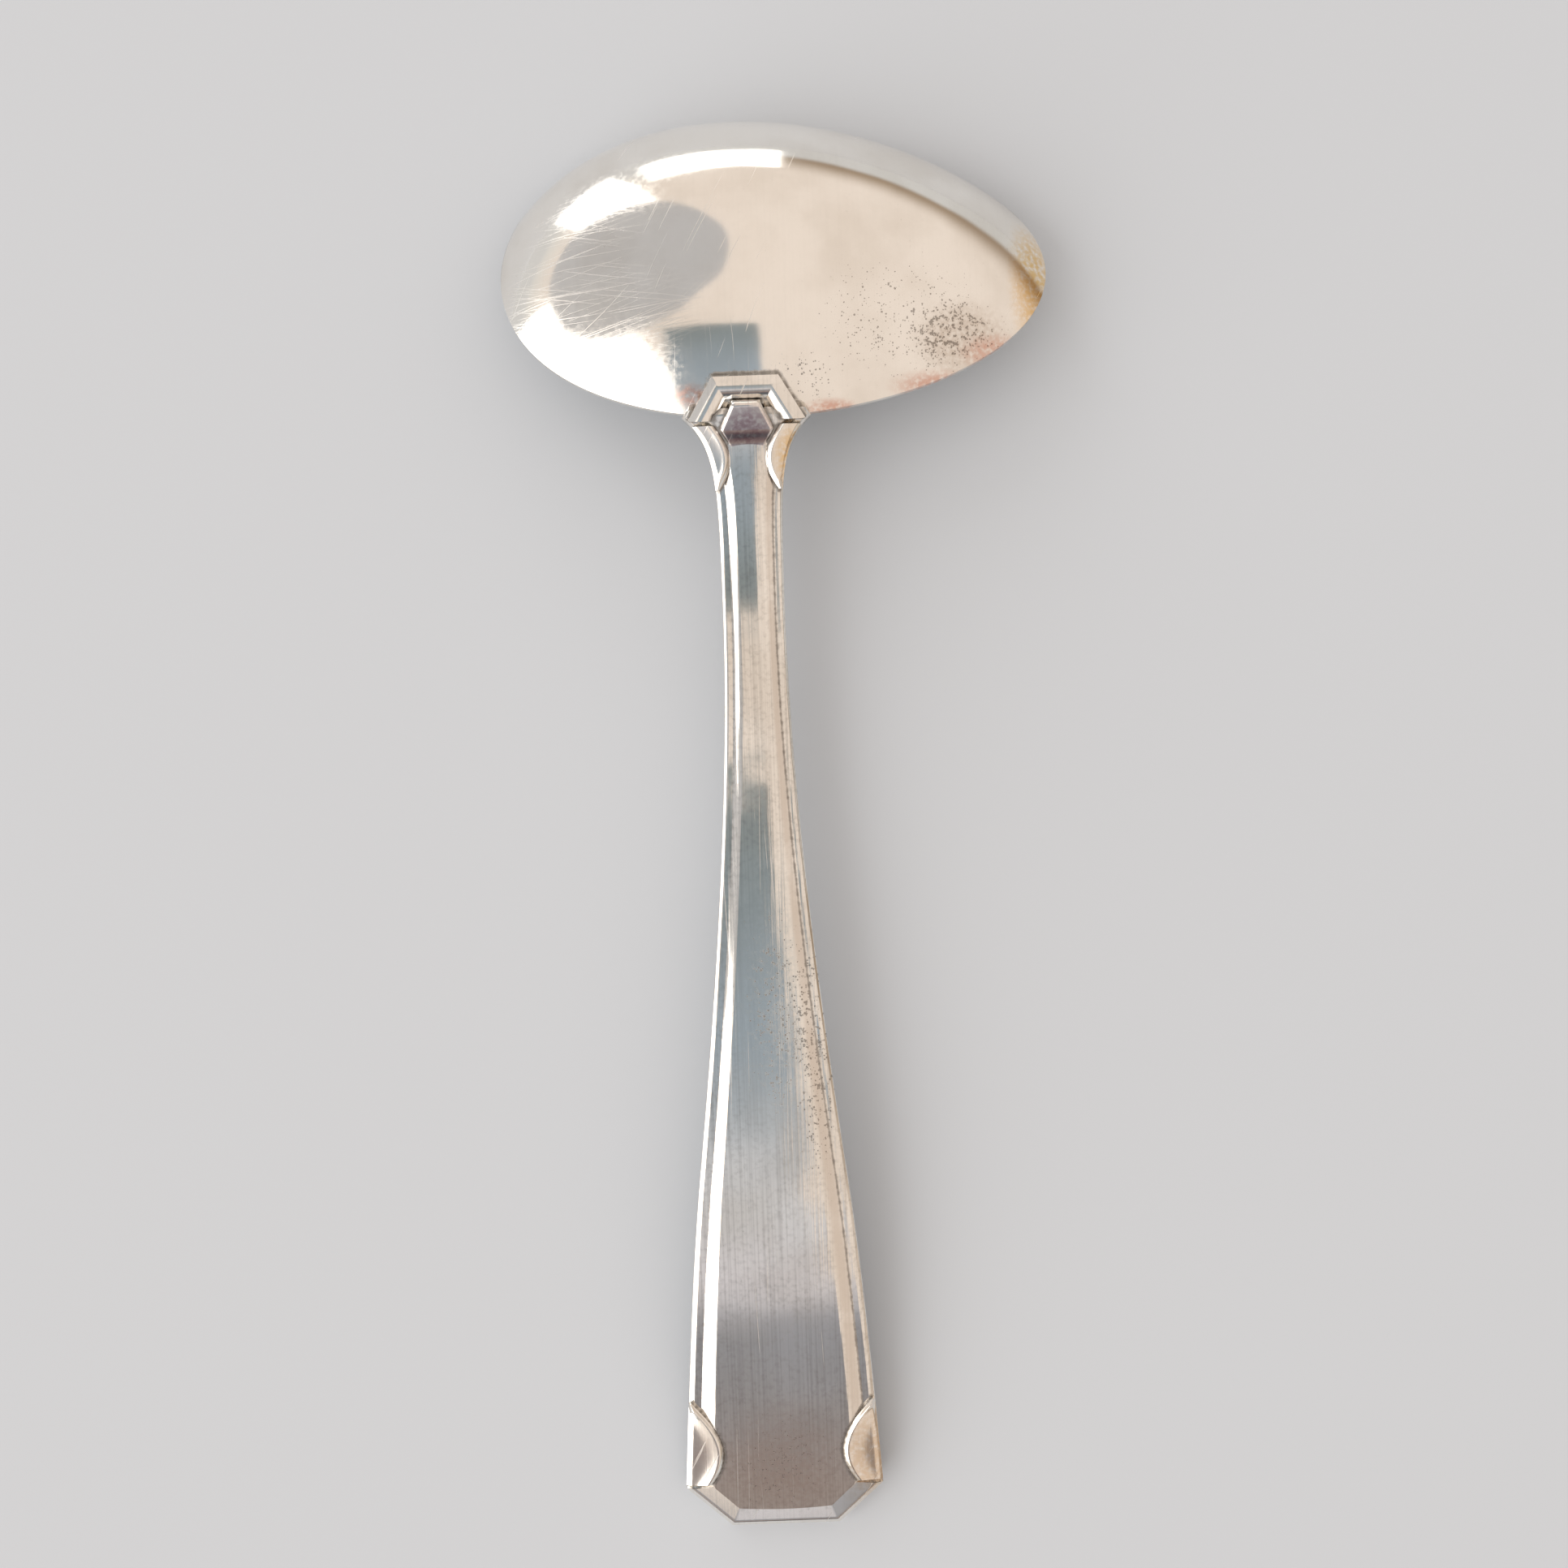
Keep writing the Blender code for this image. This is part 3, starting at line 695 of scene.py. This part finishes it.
def add(tree, kind, inputs=None, **settings):
    """A new shader node, with values or links for its sockets."""
    node = tree.nodes.new("ShaderNode" + kind)
    for key, value in settings.items():
        setattr(node, key, value)
    for key, value in (inputs or {}).items():
        if isinstance(value, bpy.types.NodeSocket):
            tree.links.new(value, node.inputs[key])
        else:
            node.inputs[key].default_value = value
    return node


def mix(tree, share, first, second):
    """A colour between two colours."""
    inputs = {MIX_SHARE: share, MIX_FIRST: first, MIX_SECOND: second}
    return add(tree, "Mix", inputs, data_type="RGBA").outputs[MIX_RESULT]


def between(tree, value, low, high):
    """0 up to low and 1 from high, smooth between them."""
    limits = {"Value": value, "From Min": low, "From Max": high}
    return add(tree, "MapRange", limits, interpolation_type="SMOOTHSTEP").outputs["Result"]


def calc(tree, operation, *values):
    """The result of an operation on numbers."""
    return add(tree, "Math", dict(enumerate(values)), operation=operation).outputs["Value"]


def vector_calc(tree, operation, *values):
    """The result of an operation on places."""
    return add(tree, "VectorMath", dict(enumerate(values)), operation=operation).outputs["Vector"]


def total(tree, *values):
    """The sum of several numbers."""
    result = values[0]
    for value in values[1:]:
        result = calc(tree, "ADD", result, value)
    return result


def noise(tree, place, cells, detail=1.0):
    """Soft noise between 0 and 1, in cells per metre."""
    return add(tree, "TexNoise", {"Vector": place, "Scale": cells, "Detail": detail}).outputs["Fac"]


# Silver

def set_marks(obj, name, marks):
    """Give each point of a piece a number that the silver reads by name."""
    attribute = obj.data.attributes.new(name, "FLOAT", "POINT")
    attribute.data.foreach_set("value", marks)


def closeness(node, points, trees, boxes):
    """1 where a point touches another piece, fading to 0 at the reach."""
    reach = CREVICE_REACH[node in SHAPED_NODES]
    marks = np.zeros(len(points))
    for other, tree in trees.items():
        low, high = boxes[other]
        near = np.all((points > low - reach) & (points < high + reach), axis=1)
        if other == node or not near.any():
            continue
        weight = BAR_MARK if "tip_frame" in node + other else 1.0
        for i in np.nonzero(near)[0]:
            _, _, _, gap = tree.find_nearest(points[i], reach)
            if gap is not None:
                marks[i] = max(marks[i], weight * (1.0 - gap / reach))
    return marks


def groove(x, y):
    """A point's closeness to the foot of the handle's step, stronger at the right, where it is painted shade
    on the side away from the window.
    """
    off = (abs(x - AXIS_X) - strips(HEEL_Y - y)[1]) / GROOVE_REACH
    return GROOVE_PATINA_AND_SHADE[int(x > AXIS_X)] * math.exp(-off ** 2)


def mark_crevices(pieces):
    """Mark points near another piece or the handle's step, apart from outer edges and the boss's foot, for
    patina and painted shade there.
    """
    depsgraph = bpy.context.evaluated_depsgraph_get()
    trees = {node: BVHTree.FromObject(obj, depsgraph) for node, obj in pieces.items()}
    corners = {node: np.array(obj.bound_box) for node, obj in pieces.items()}
    boxes = {node: (box.min(axis=0), box.max(axis=0)) for node, box in corners.items()}
    for node, obj in pieces.items():
        points = np.empty(3 * len(obj.data.vertices))
        obj.data.vertices.foreach_get("co", points)
        points = points.reshape(-1, 3)
        marks = closeness(node, points, trees, boxes)
        if node == "handle":
            marks = np.maximum(marks, [groove(x, y) for x, y, _ in points])
        foot = np.clip((points[:, 1] - HEEL_Y + CLEAN_FOOT) / CLEAN_FADE, 0.0, 1.0)
        across = np.abs(points[:, 0] - AXIS_X)
        marks = np.where(across < 0.5 * BOSS_FOOT_WIDTH, marks * foot, marks)
        if node != "bowl":
            edges = np.array([half_width(HEEL_Y - y) for y in points[:, 1]])
            marks[across > edges - CLEAN_EDGE] = 0.0
        set_marks(obj, "crevice", marks)


def mark_shade_and_stain(handle):
    """Mark the step at the right side of the handle, for a darker band of grime and painted shade on the
    side away from the window.
    """
    shades_and_stains = []
    for v in handle.data.vertices:
        panel, foot = strips(HEEL_Y - v.co.y)[:2]
        off = (2.0 * (v.co.x - AXIS_X) - panel - foot) / (foot - panel)
        shades_and_stains.append(math.exp(-off ** 4))
    set_marks(handle, "shade_and_stain", shades_and_stains)


def patch(tree, place, middle, radii):
    """1 round a middle, fading to 0 at the radii."""
    away = vector_calc(tree, "DIVIDE", vector_calc(tree, "SUBTRACT", place, middle), radii)
    reach = add(tree, "VectorMath", {0: away}, operation="LENGTH").outputs["Value"]
    return between(tree, reach, 1.0, PATCH_CORE)


def streaks(tree, place, turn, along, across):
    """Noise drawn out along a direction in the ground's plane, in cells per metre along and across it."""
    scale = (1.0 / along, 1.0 / across, 1.0 / along)
    inputs = {"Vector": place, "Rotation": (0.0, 0.0, turn), "Scale": scale}
    turned = add(tree, "Mapping", inputs, vector_type="TEXTURE").outputs["Vector"]
    return noise(tree, turned, 1.0)


def specks(tree, place, amount):
    """Small irregular spots, larger and more of them where the amount is higher."""
    cells = add(tree, "TexVoronoi", {"Vector": place, "Scale": SPECK_CELLS})
    chance = add(tree, "SeparateColor", {"Color": cells.outputs["Color"]}).outputs["Red"]
    size = calc(tree, "MULTIPLY_ADD", amount, SPECK_GROWTH, calc(tree, "SUBTRACT", chance, 1.0))
    inside = calc(tree, "SUBTRACT", size, cells.outputs["Distance"])
    return between(tree, inside, -SPECK_SOFTNESS, SPECK_SOFTNESS)


def silver(name, roughness, brushing, drift_reach, patina_and_shade, scratches, tints, speck_patches=(), hazes=()):
    """Worn silver: cloudy colour and gloss, brushing along Y, scratches, specks, and patina with painted
    shade in the crevices.

    A patch is a middle and radii. Scratches are given as turn in degrees, cells along and across, threshold
    and patch or None, tints as patch and colour, specks and hazes as patch and strength.
    """
    material = bpy.data.materials.new(name)
    material.use_nodes = True
    tree = material.node_tree
    shader = tree.nodes["Principled BSDF"]
    shader.inputs["Metallic"].default_value = 1.0
    place = add(tree, "TexCoord").outputs["Object"]
    drift = add(tree, "TexNoise", {"Vector": place, "Scale": DRIFT_CELLS, "Detail": 1.0}).outputs["Color"]
    bent = vector_calc(tree, "MULTIPLY_ADD", drift, (drift_reach,) * 3, place)
    clouds = noise(tree, place, CLOUD_CELLS, CLOUD_DETAIL)
    grain = noise(tree, place, GRAIN_CELLS, GRAIN_DETAIL)
    brush = streaks(tree, place, 0.5 * math.pi, *BRUSH_CELLS)
    colour = mix(tree, between(tree, clouds, *CLOUD_LIMITS), BRIGHT_SILVER, DULL_SILVER)
    shade = calc(tree, "MULTIPLY", between(tree, brush, *BRUSH_LIMITS), brushing * BRUSH_SHADE)
    mottle = calc(tree, "MULTIPLY", between(tree, grain, *MOTTLE_LIMITS), brushing * MOTTLE_SHADE)
    colour = mix(tree, total(tree, shade, mottle), colour, PATINA_AND_SHADE)
    for where, tint in tints:
        share = calc(tree, "MULTIPLY", patch(tree, place, *where), between(tree, grain, *TINT_COVER))
        colour = mix(tree, share, colour, tint)
    # A darker band along the handle's right step: grime, and painted shade on the side away from the window
    shade_and_stain = add(tree, "Attribute", attribute_name="shade_and_stain").outputs["Fac"]
    shade_and_stain = calc(tree, "MULTIPLY", shade_and_stain, between(tree, clouds, *SHADE_AND_STAIN_CLOUDS))
    colour = mix(tree, calc(tree, "MULTIPLY", shade_and_stain, SHADE_AND_STAIN_SHARE), colour, SMUDGE_AND_SHADE)

    lines = 0.0
    for turn, along, across, threshold, where in scratches:
        line = streaks(tree, bent, math.radians(turn), along, across)
        line = between(tree, line, threshold, threshold + SCRATCH_SOFTNESS)
        if where:
            line = calc(tree, "MULTIPLY", line, patch(tree, place, *where))
        lines = calc(tree, "MAXIMUM", lines, line)

    amount = calc(tree, "MULTIPLY", clouds, SPECK_SHARE)
    for where, strength in speck_patches:
        amount = calc(tree, "MULTIPLY_ADD", patch(tree, place, *where), strength, amount)
    amount = calc(tree, "MULTIPLY", amount, between(tree, grain, *SPECK_COVER))
    spots = calc(tree, "MULTIPLY", specks(tree, bent, amount), SPECK_DARKNESS)
    # Patina and painted shade where pieces meet and along the handle's step
    crevice = add(tree, "Attribute", attribute_name="crevice").outputs["Fac"]
    crevice = calc(tree, "SUBTRACT", crevice, PATINA_AND_SHADE_START)
    crevice = calc(tree, "MULTIPLY_ADD", grain, PATINA_AND_SHADE_GRAIN, crevice)
    crevice = calc(tree, "MULTIPLY", between(tree, crevice, *PATINA_AND_SHADE_LIMITS), patina_and_shade)
    dark = calc(tree, "MAXIMUM", crevice, spots)
    colour = mix(tree, dark, colour, PATINA_AND_SHADE)
    tree.links.new(colour, shader.inputs["Base Color"])

    worn = calc(tree, "MULTIPLY_ADD", clouds, CLOUD_ROUGHNESS, roughness)
    worn = calc(tree, "MULTIPLY_ADD", brush, brushing * BRUSH_ROUGHNESS, worn)
    worn = calc(tree, "MULTIPLY_ADD", lines, SCRATCH_ROUGHNESS, worn)
    for where, strength in hazes:
        haze = calc(tree, "MULTIPLY", patch(tree, place, *where), between(tree, grain, *HAZE_COVER))
        worn = calc(tree, "MULTIPLY_ADD", haze, strength, worn)
    tree.links.new(calc(tree, "MULTIPLY_ADD", dark, PATINA_ROUGHNESS, worn), shader.inputs["Roughness"])

    waves = noise(tree, place, WAVE_CELLS)
    height = total(
        tree,
        calc(tree, "MULTIPLY", waves, WAVE_HEIGHT),
        calc(tree, "MULTIPLY", brush, brushing * BRUSH_HEIGHT),
        calc(tree, "MULTIPLY", lines, -SCRATCH_DEPTH),
        calc(tree, "MULTIPLY", dark, -PATINA_DEPTH),
    )
    bump = add(tree, "Bump", {"Height": height, "Distance": MICRON})
    tree.links.new(bump.outputs["Normal"], shader.inputs["Normal"])
    return material


def bowl_silver():
    """The bowl: scratched and hazy at the left, specked and stained towards the lip."""
    left = ((-0.0185, 0.0520, 0.0090), (0.0165, 0.0130, 0.0140))
    over_frame = ((-0.0060, 0.0446, 0.0135), (0.0060, 0.0050, 0.0060))
    before_lip = ((0.0178, 0.0467, 0.0105), (0.0066, 0.0042, 0.0060))
    right_half = ((0.0125, 0.0480, 0.0125), (0.0120, 0.0075, 0.0080))
    beside_frame = ((0.0030, 0.0428, 0.0125), (0.0050, 0.0030, 0.0050))
    lip = ((0.0252, 0.0520, 0.0060), (0.0034, 0.0080, 0.0060))
    lip_smudge = ((0.0180, 0.0464, 0.0100), (0.0062, 0.0044, 0.0060))
    right_rim = ((0.0155, 0.0421, 0.0092), (0.0060, 0.0018, 0.0040))
    lip_rim = ((0.0208, 0.0454, 0.0077), (0.0050, 0.0022, 0.0040))
    rim_right_of_frame = ((0.0052, 0.0400, 0.0104), (0.0035, 0.0012, 0.0030))
    rim_left_of_frame = ((-0.0083, 0.0416, 0.0114), (0.0022, 0.0014, 0.0030))
    far_left = ((-0.0165, 0.0620, 0.0090), (0.0150, 0.0085, 0.0130))
    middle_left = ((-0.0190, 0.0495, 0.0090), (0.0110, 0.0070, 0.0120))
    near_left = ((-0.0130, 0.0435, 0.0110), (0.0070, 0.0065, 0.0080))
    return silver(
        "bowl_silver", roughness=0.06, brushing=0.06, drift_reach=0.0016, patina_and_shade=0.75,
        scratches=(
            (3.0, 40.0, 9000.0, 0.62, left),
            (-12.0, 50.0, 8000.0, 0.64, left),
            (14.0, 45.0, 9500.0, 0.64, left),
            (38.0, 80.0, 7500.0, 0.69, left),
            (62.0, 100.0, 6000.0, 0.73, None),
            (88.0, 60.0, 7500.0, 0.66, over_frame),
        ),
        tints=(
            (lip, GOLD),
            (lip_smudge, SMUDGE_AND_SHADE),
            (right_rim, COPPER),
            (lip_rim, COPPER),
            (rim_right_of_frame, COPPER),
            (rim_left_of_frame, COPPER),
        ),
        speck_patches=((before_lip, 0.85), (right_half, 0.72), (beside_frame, 0.8)),
        hazes=((far_left, 0.12), (middle_left, 0.09), (near_left, 0.16)),
    )


def handle_silver():
    """The handle: brushed along its length, specked and tarnished in the middle and at the end."""
    right_step = ((0.0015, -0.0225, 0.0070), (0.0026, 0.0170, 0.0060))
    middle_specks = ((-0.0020, -0.0180, 0.0074), (0.0042, 0.0140, 0.0060))
    end_specks = ((-0.0030, -0.0625, 0.0020), (0.0085, 0.0085, 0.0040))
    end_tint = ((-0.0030, -0.0620, 0.0020), (0.0095, 0.0090, 0.0040))
    middle_tint = ((-0.0028, -0.0160, 0.0074), (0.0055, 0.0190, 0.0060))
    middle_haze = ((-0.0028, -0.0190, 0.0074), (0.0060, 0.0150, 0.0060))
    end_haze = ((-0.0030, -0.0520, 0.0045), (0.0085, 0.0200, 0.0080))
    return silver(
        "handle_silver", roughness=0.035, brushing=1.0, drift_reach=0.0003, patina_and_shade=0.7,
        scratches=((88.5, 35.0, 5200.0, 0.70, None), (92.0, 50.0, 4600.0, 0.71, None)),
        tints=((end_tint, UMBER), (middle_tint, PEWTER)),
        speck_patches=((right_step, 0.9), (middle_specks, 0.78), (end_specks, 0.72)),
        hazes=((middle_haze, 0.10), (end_haze, 0.07)),
    )


def ornament_silver():
    """The ornaments: less bright, with a mauve boss, a golden right neck leaf and darker tip leaves."""
    boss = ((-0.0030, 0.0376, 0.0125), (0.0034, 0.0036, 0.0030))
    right_neck_leaf = ((0.0016, 0.0352, 0.0112), (0.0026, 0.0044, 0.0036))
    right_tip_leaf = ((0.0056, -0.0618, 0.0020), (0.0050, 0.0090, 0.0045))
    left_tip_leaf = ((-0.0110, -0.0618, 0.0020), (0.0022, 0.0050, 0.0030))
    return silver(
        "ornament_silver", roughness=0.10, brushing=0.4, drift_reach=0.0010, patina_and_shade=0.9,
        scratches=((60.0, 150.0, 3400.0, 0.68, None),),
        tints=((boss, MAUVE), (right_neck_leaf, GOLD), (right_tip_leaf, OCHRE), (left_tip_leaf, UMBER)),
    )


# Stage, light and camera

def stage_object(name, bm, colour, roughness):
    """A matt object that belongs to the stage."""
    mesh = bpy.data.meshes.new(name)
    bm.to_mesh(mesh)
    bm.free()
    material = bpy.data.materials.new(name)
    material.use_nodes = True
    shader = material.node_tree.nodes["Principled BSDF"]
    shader.inputs["Base Color"].default_value = colour
    shader.inputs["Roughness"].default_value = roughness
    shader.inputs["Specular IOR Level"].default_value = 0.0
    mesh.materials.append(material)
    obj = bpy.data.objects.new(name, mesh)
    bpy.context.scene.collection.objects.link(obj)
    return obj


def stage_plane(name, width, length, place, colour, roughness):
    """A level rectangle of the stage."""
    bm = bmesh.new()
    bmesh.ops.create_grid(bm, x_segments=1, y_segments=1, size=0.5)
    bmesh.ops.scale(bm, vec=(width, length, 1.0), verts=bm.verts)
    obj = stage_object(name, bm, colour, roughness)
    obj.location = place
    return obj


def only_reflected(obj):
    """Hide an object from everything but the reflections in the silver."""
    obj.visible_camera = False
    obj.visible_shadow = False
    obj.visible_diffuse = False


def card(name, across, along, far, near):
    """A card over the spoon that only reflections show, between edges in X and in Y.

    Its colour goes from far, at its edge towards the handle's end, to near, at its edge towards the bowl.
    """
    place = (0.5 * sum(across), 0.5 * sum(along), CARD_HEIGHT)
    length = along[1] - along[0]
    obj = stage_plane(name, across[1] - across[0], length, place, far, CARD_ROUGHNESS)
    tree = obj.active_material.node_tree
    axes = add(tree, "SeparateXYZ", {"Vector": add(tree, "TexCoord").outputs["Object"]})
    share = between(tree, axes.outputs["Y"], -0.5 * length, 0.5 * length)
    tree.links.new(mix(tree, share, far, near), tree.nodes["Principled BSDF"].inputs["Base Color"])
    only_reflected(obj)


def hang(obj, angles, distance, aim):
    """Put an object at a distance from a point, facing it, at an azimuth and an angle from straight up."""
    azimuth, zenith = (math.radians(angle) for angle in angles)
    flat = math.sin(zenith)
    away = Vector((flat * math.cos(azimuth), flat * math.sin(azimuth), math.cos(zenith)))
    obj.location = distance * away + Vector(aim)
    obj.rotation_euler = away.to_track_quat("Z", "Y").to_euler()


def grey_disc():
    """A round grey card at the upper left, in front of the windows, that only reflections show."""
    bm = bmesh.new()
    radius = DISC_DISTANCE * math.tan(DISC_RADIUS)
    bmesh.ops.create_circle(bm, cap_ends=True, segments=DISC_SEGMENTS, radius=radius)
    obj = stage_object("grey_disc", bm, DISC_COLOUR, CARD_ROUGHNESS)
    hang(obj, DISC_ANGLES, DISC_DISTANCE, DISC_AIM)
    only_reflected(obj)


def softbox(name, angles, shares, radiance):
    """A rectangular lamp that faces the spoon, with its sides as shares of its distance."""
    data = bpy.data.lights.new(name, "AREA")
    data.shape = "RECTANGLE"
    data.size, data.size_y = (LAMP_DISTANCE * share for share in shares)
    data.energy = radiance * math.pi * data.size * data.size_y
    data.color = LAMP_COLOUR
    obj = bpy.data.objects.new(name, data)
    hang(obj, angles, LAMP_DISTANCE, (0.0, 0.0, 0.0))
    bpy.context.scene.collection.objects.link(obj)


def camera():
    """The camera straight above the spoon."""
    data = bpy.data.cameras.new("camera")
    data.sensor_width = SENSOR_WIDTH
    data.lens = SENSOR_WIDTH * LENS_PIXELS / PHOTO_PIXELS
    data.clip_start = CAMERA_NEAR
    obj = bpy.data.objects.new("camera", data)
    obj.location = CAMERA_PLACE
    obj.rotation_euler = (0.0, 0.0, CAMERA_ROLL)
    bpy.context.scene.collection.objects.link(obj)
    bpy.context.scene.camera = obj


def room():
    """A warm pale dome, greyer low at the left and darker low at the right, over a plain pale horizon."""
    world = bpy.data.worlds.new("room")
    bpy.context.scene.world = world
    world.use_nodes = True
    tree = world.node_tree
    axes = add(tree, "SeparateXYZ", {"Vector": add(tree, "TexCoord").outputs["Generated"]})
    horizon = between(tree, axes.outputs["Z"], *HORIZON_LIMITS)
    height = between(tree, axes.outputs["Z"], *DOME_LIMITS)
    right = between(tree, axes.outputs["X"], *SIDE_LIMITS)
    low = mix(tree, right, LOW_LEFT_COLOUR, LOW_RIGHT_COLOUR)
    dome = mix(tree, height, low, DOME_COLOUR)
    tree.links.new(mix(tree, horizon, HORIZON_COLOUR, dome), tree.nodes["Background"].inputs["Color"])


pieces = build_pieces()
mark_crevices(pieces)
mark_shade_and_stain(pieces["handle"])
shaped = {"bowl": bowl_silver(), "handle": handle_silver()}
applied = ornament_silver()
for node, obj in pieces.items():
    obj.data.materials.append(shaped.get(node, applied))
camera()
room()
stage_plane("floor", FLOOR_SIZE, FLOOR_SIZE, FLOOR_PLACE, FLOOR_COLOUR, FLOOR_ROUGHNESS)
card("blue_card", (CARD_LEFT, 0.003), (-0.050, 0.011), BLUE, SLATE)
card("pale_card", (CARD_LEFT, 0.006), (-0.114, -0.050), PALE, BLUE)
card("lavender_card", (CARD_LEFT, 0.010), (-0.142, -0.114), LAVENDER, PALE)
card("grey_card", (CARD_LEFT, 0.030), (-0.168, -0.142), GREY, LAVENDER)
card("brown_card", (CARD_LEFT, 0.045), (-0.260, -0.168), BROWN, GREY)
card("mauve_card", (-0.090, 0.070), (-0.460, -0.260), PLUM, BROWN)
card("dark_card", (-0.300, 0.150), (-2.000, -0.460), DARK, DARK)
grey_disc()
softbox("window", angles=(205.0, 60.0), shares=(1.2, 1.15), radiance=1.8)
softbox("far_window", angles=(128.0, 69.0), shares=(0.36, 0.7), radiance=2.0)
softbox("far_strip", angles=(97.0, 76.0), shares=(0.5, 0.32), radiance=1.4)
bpy.context.scene.view_settings.view_transform = "Standard"
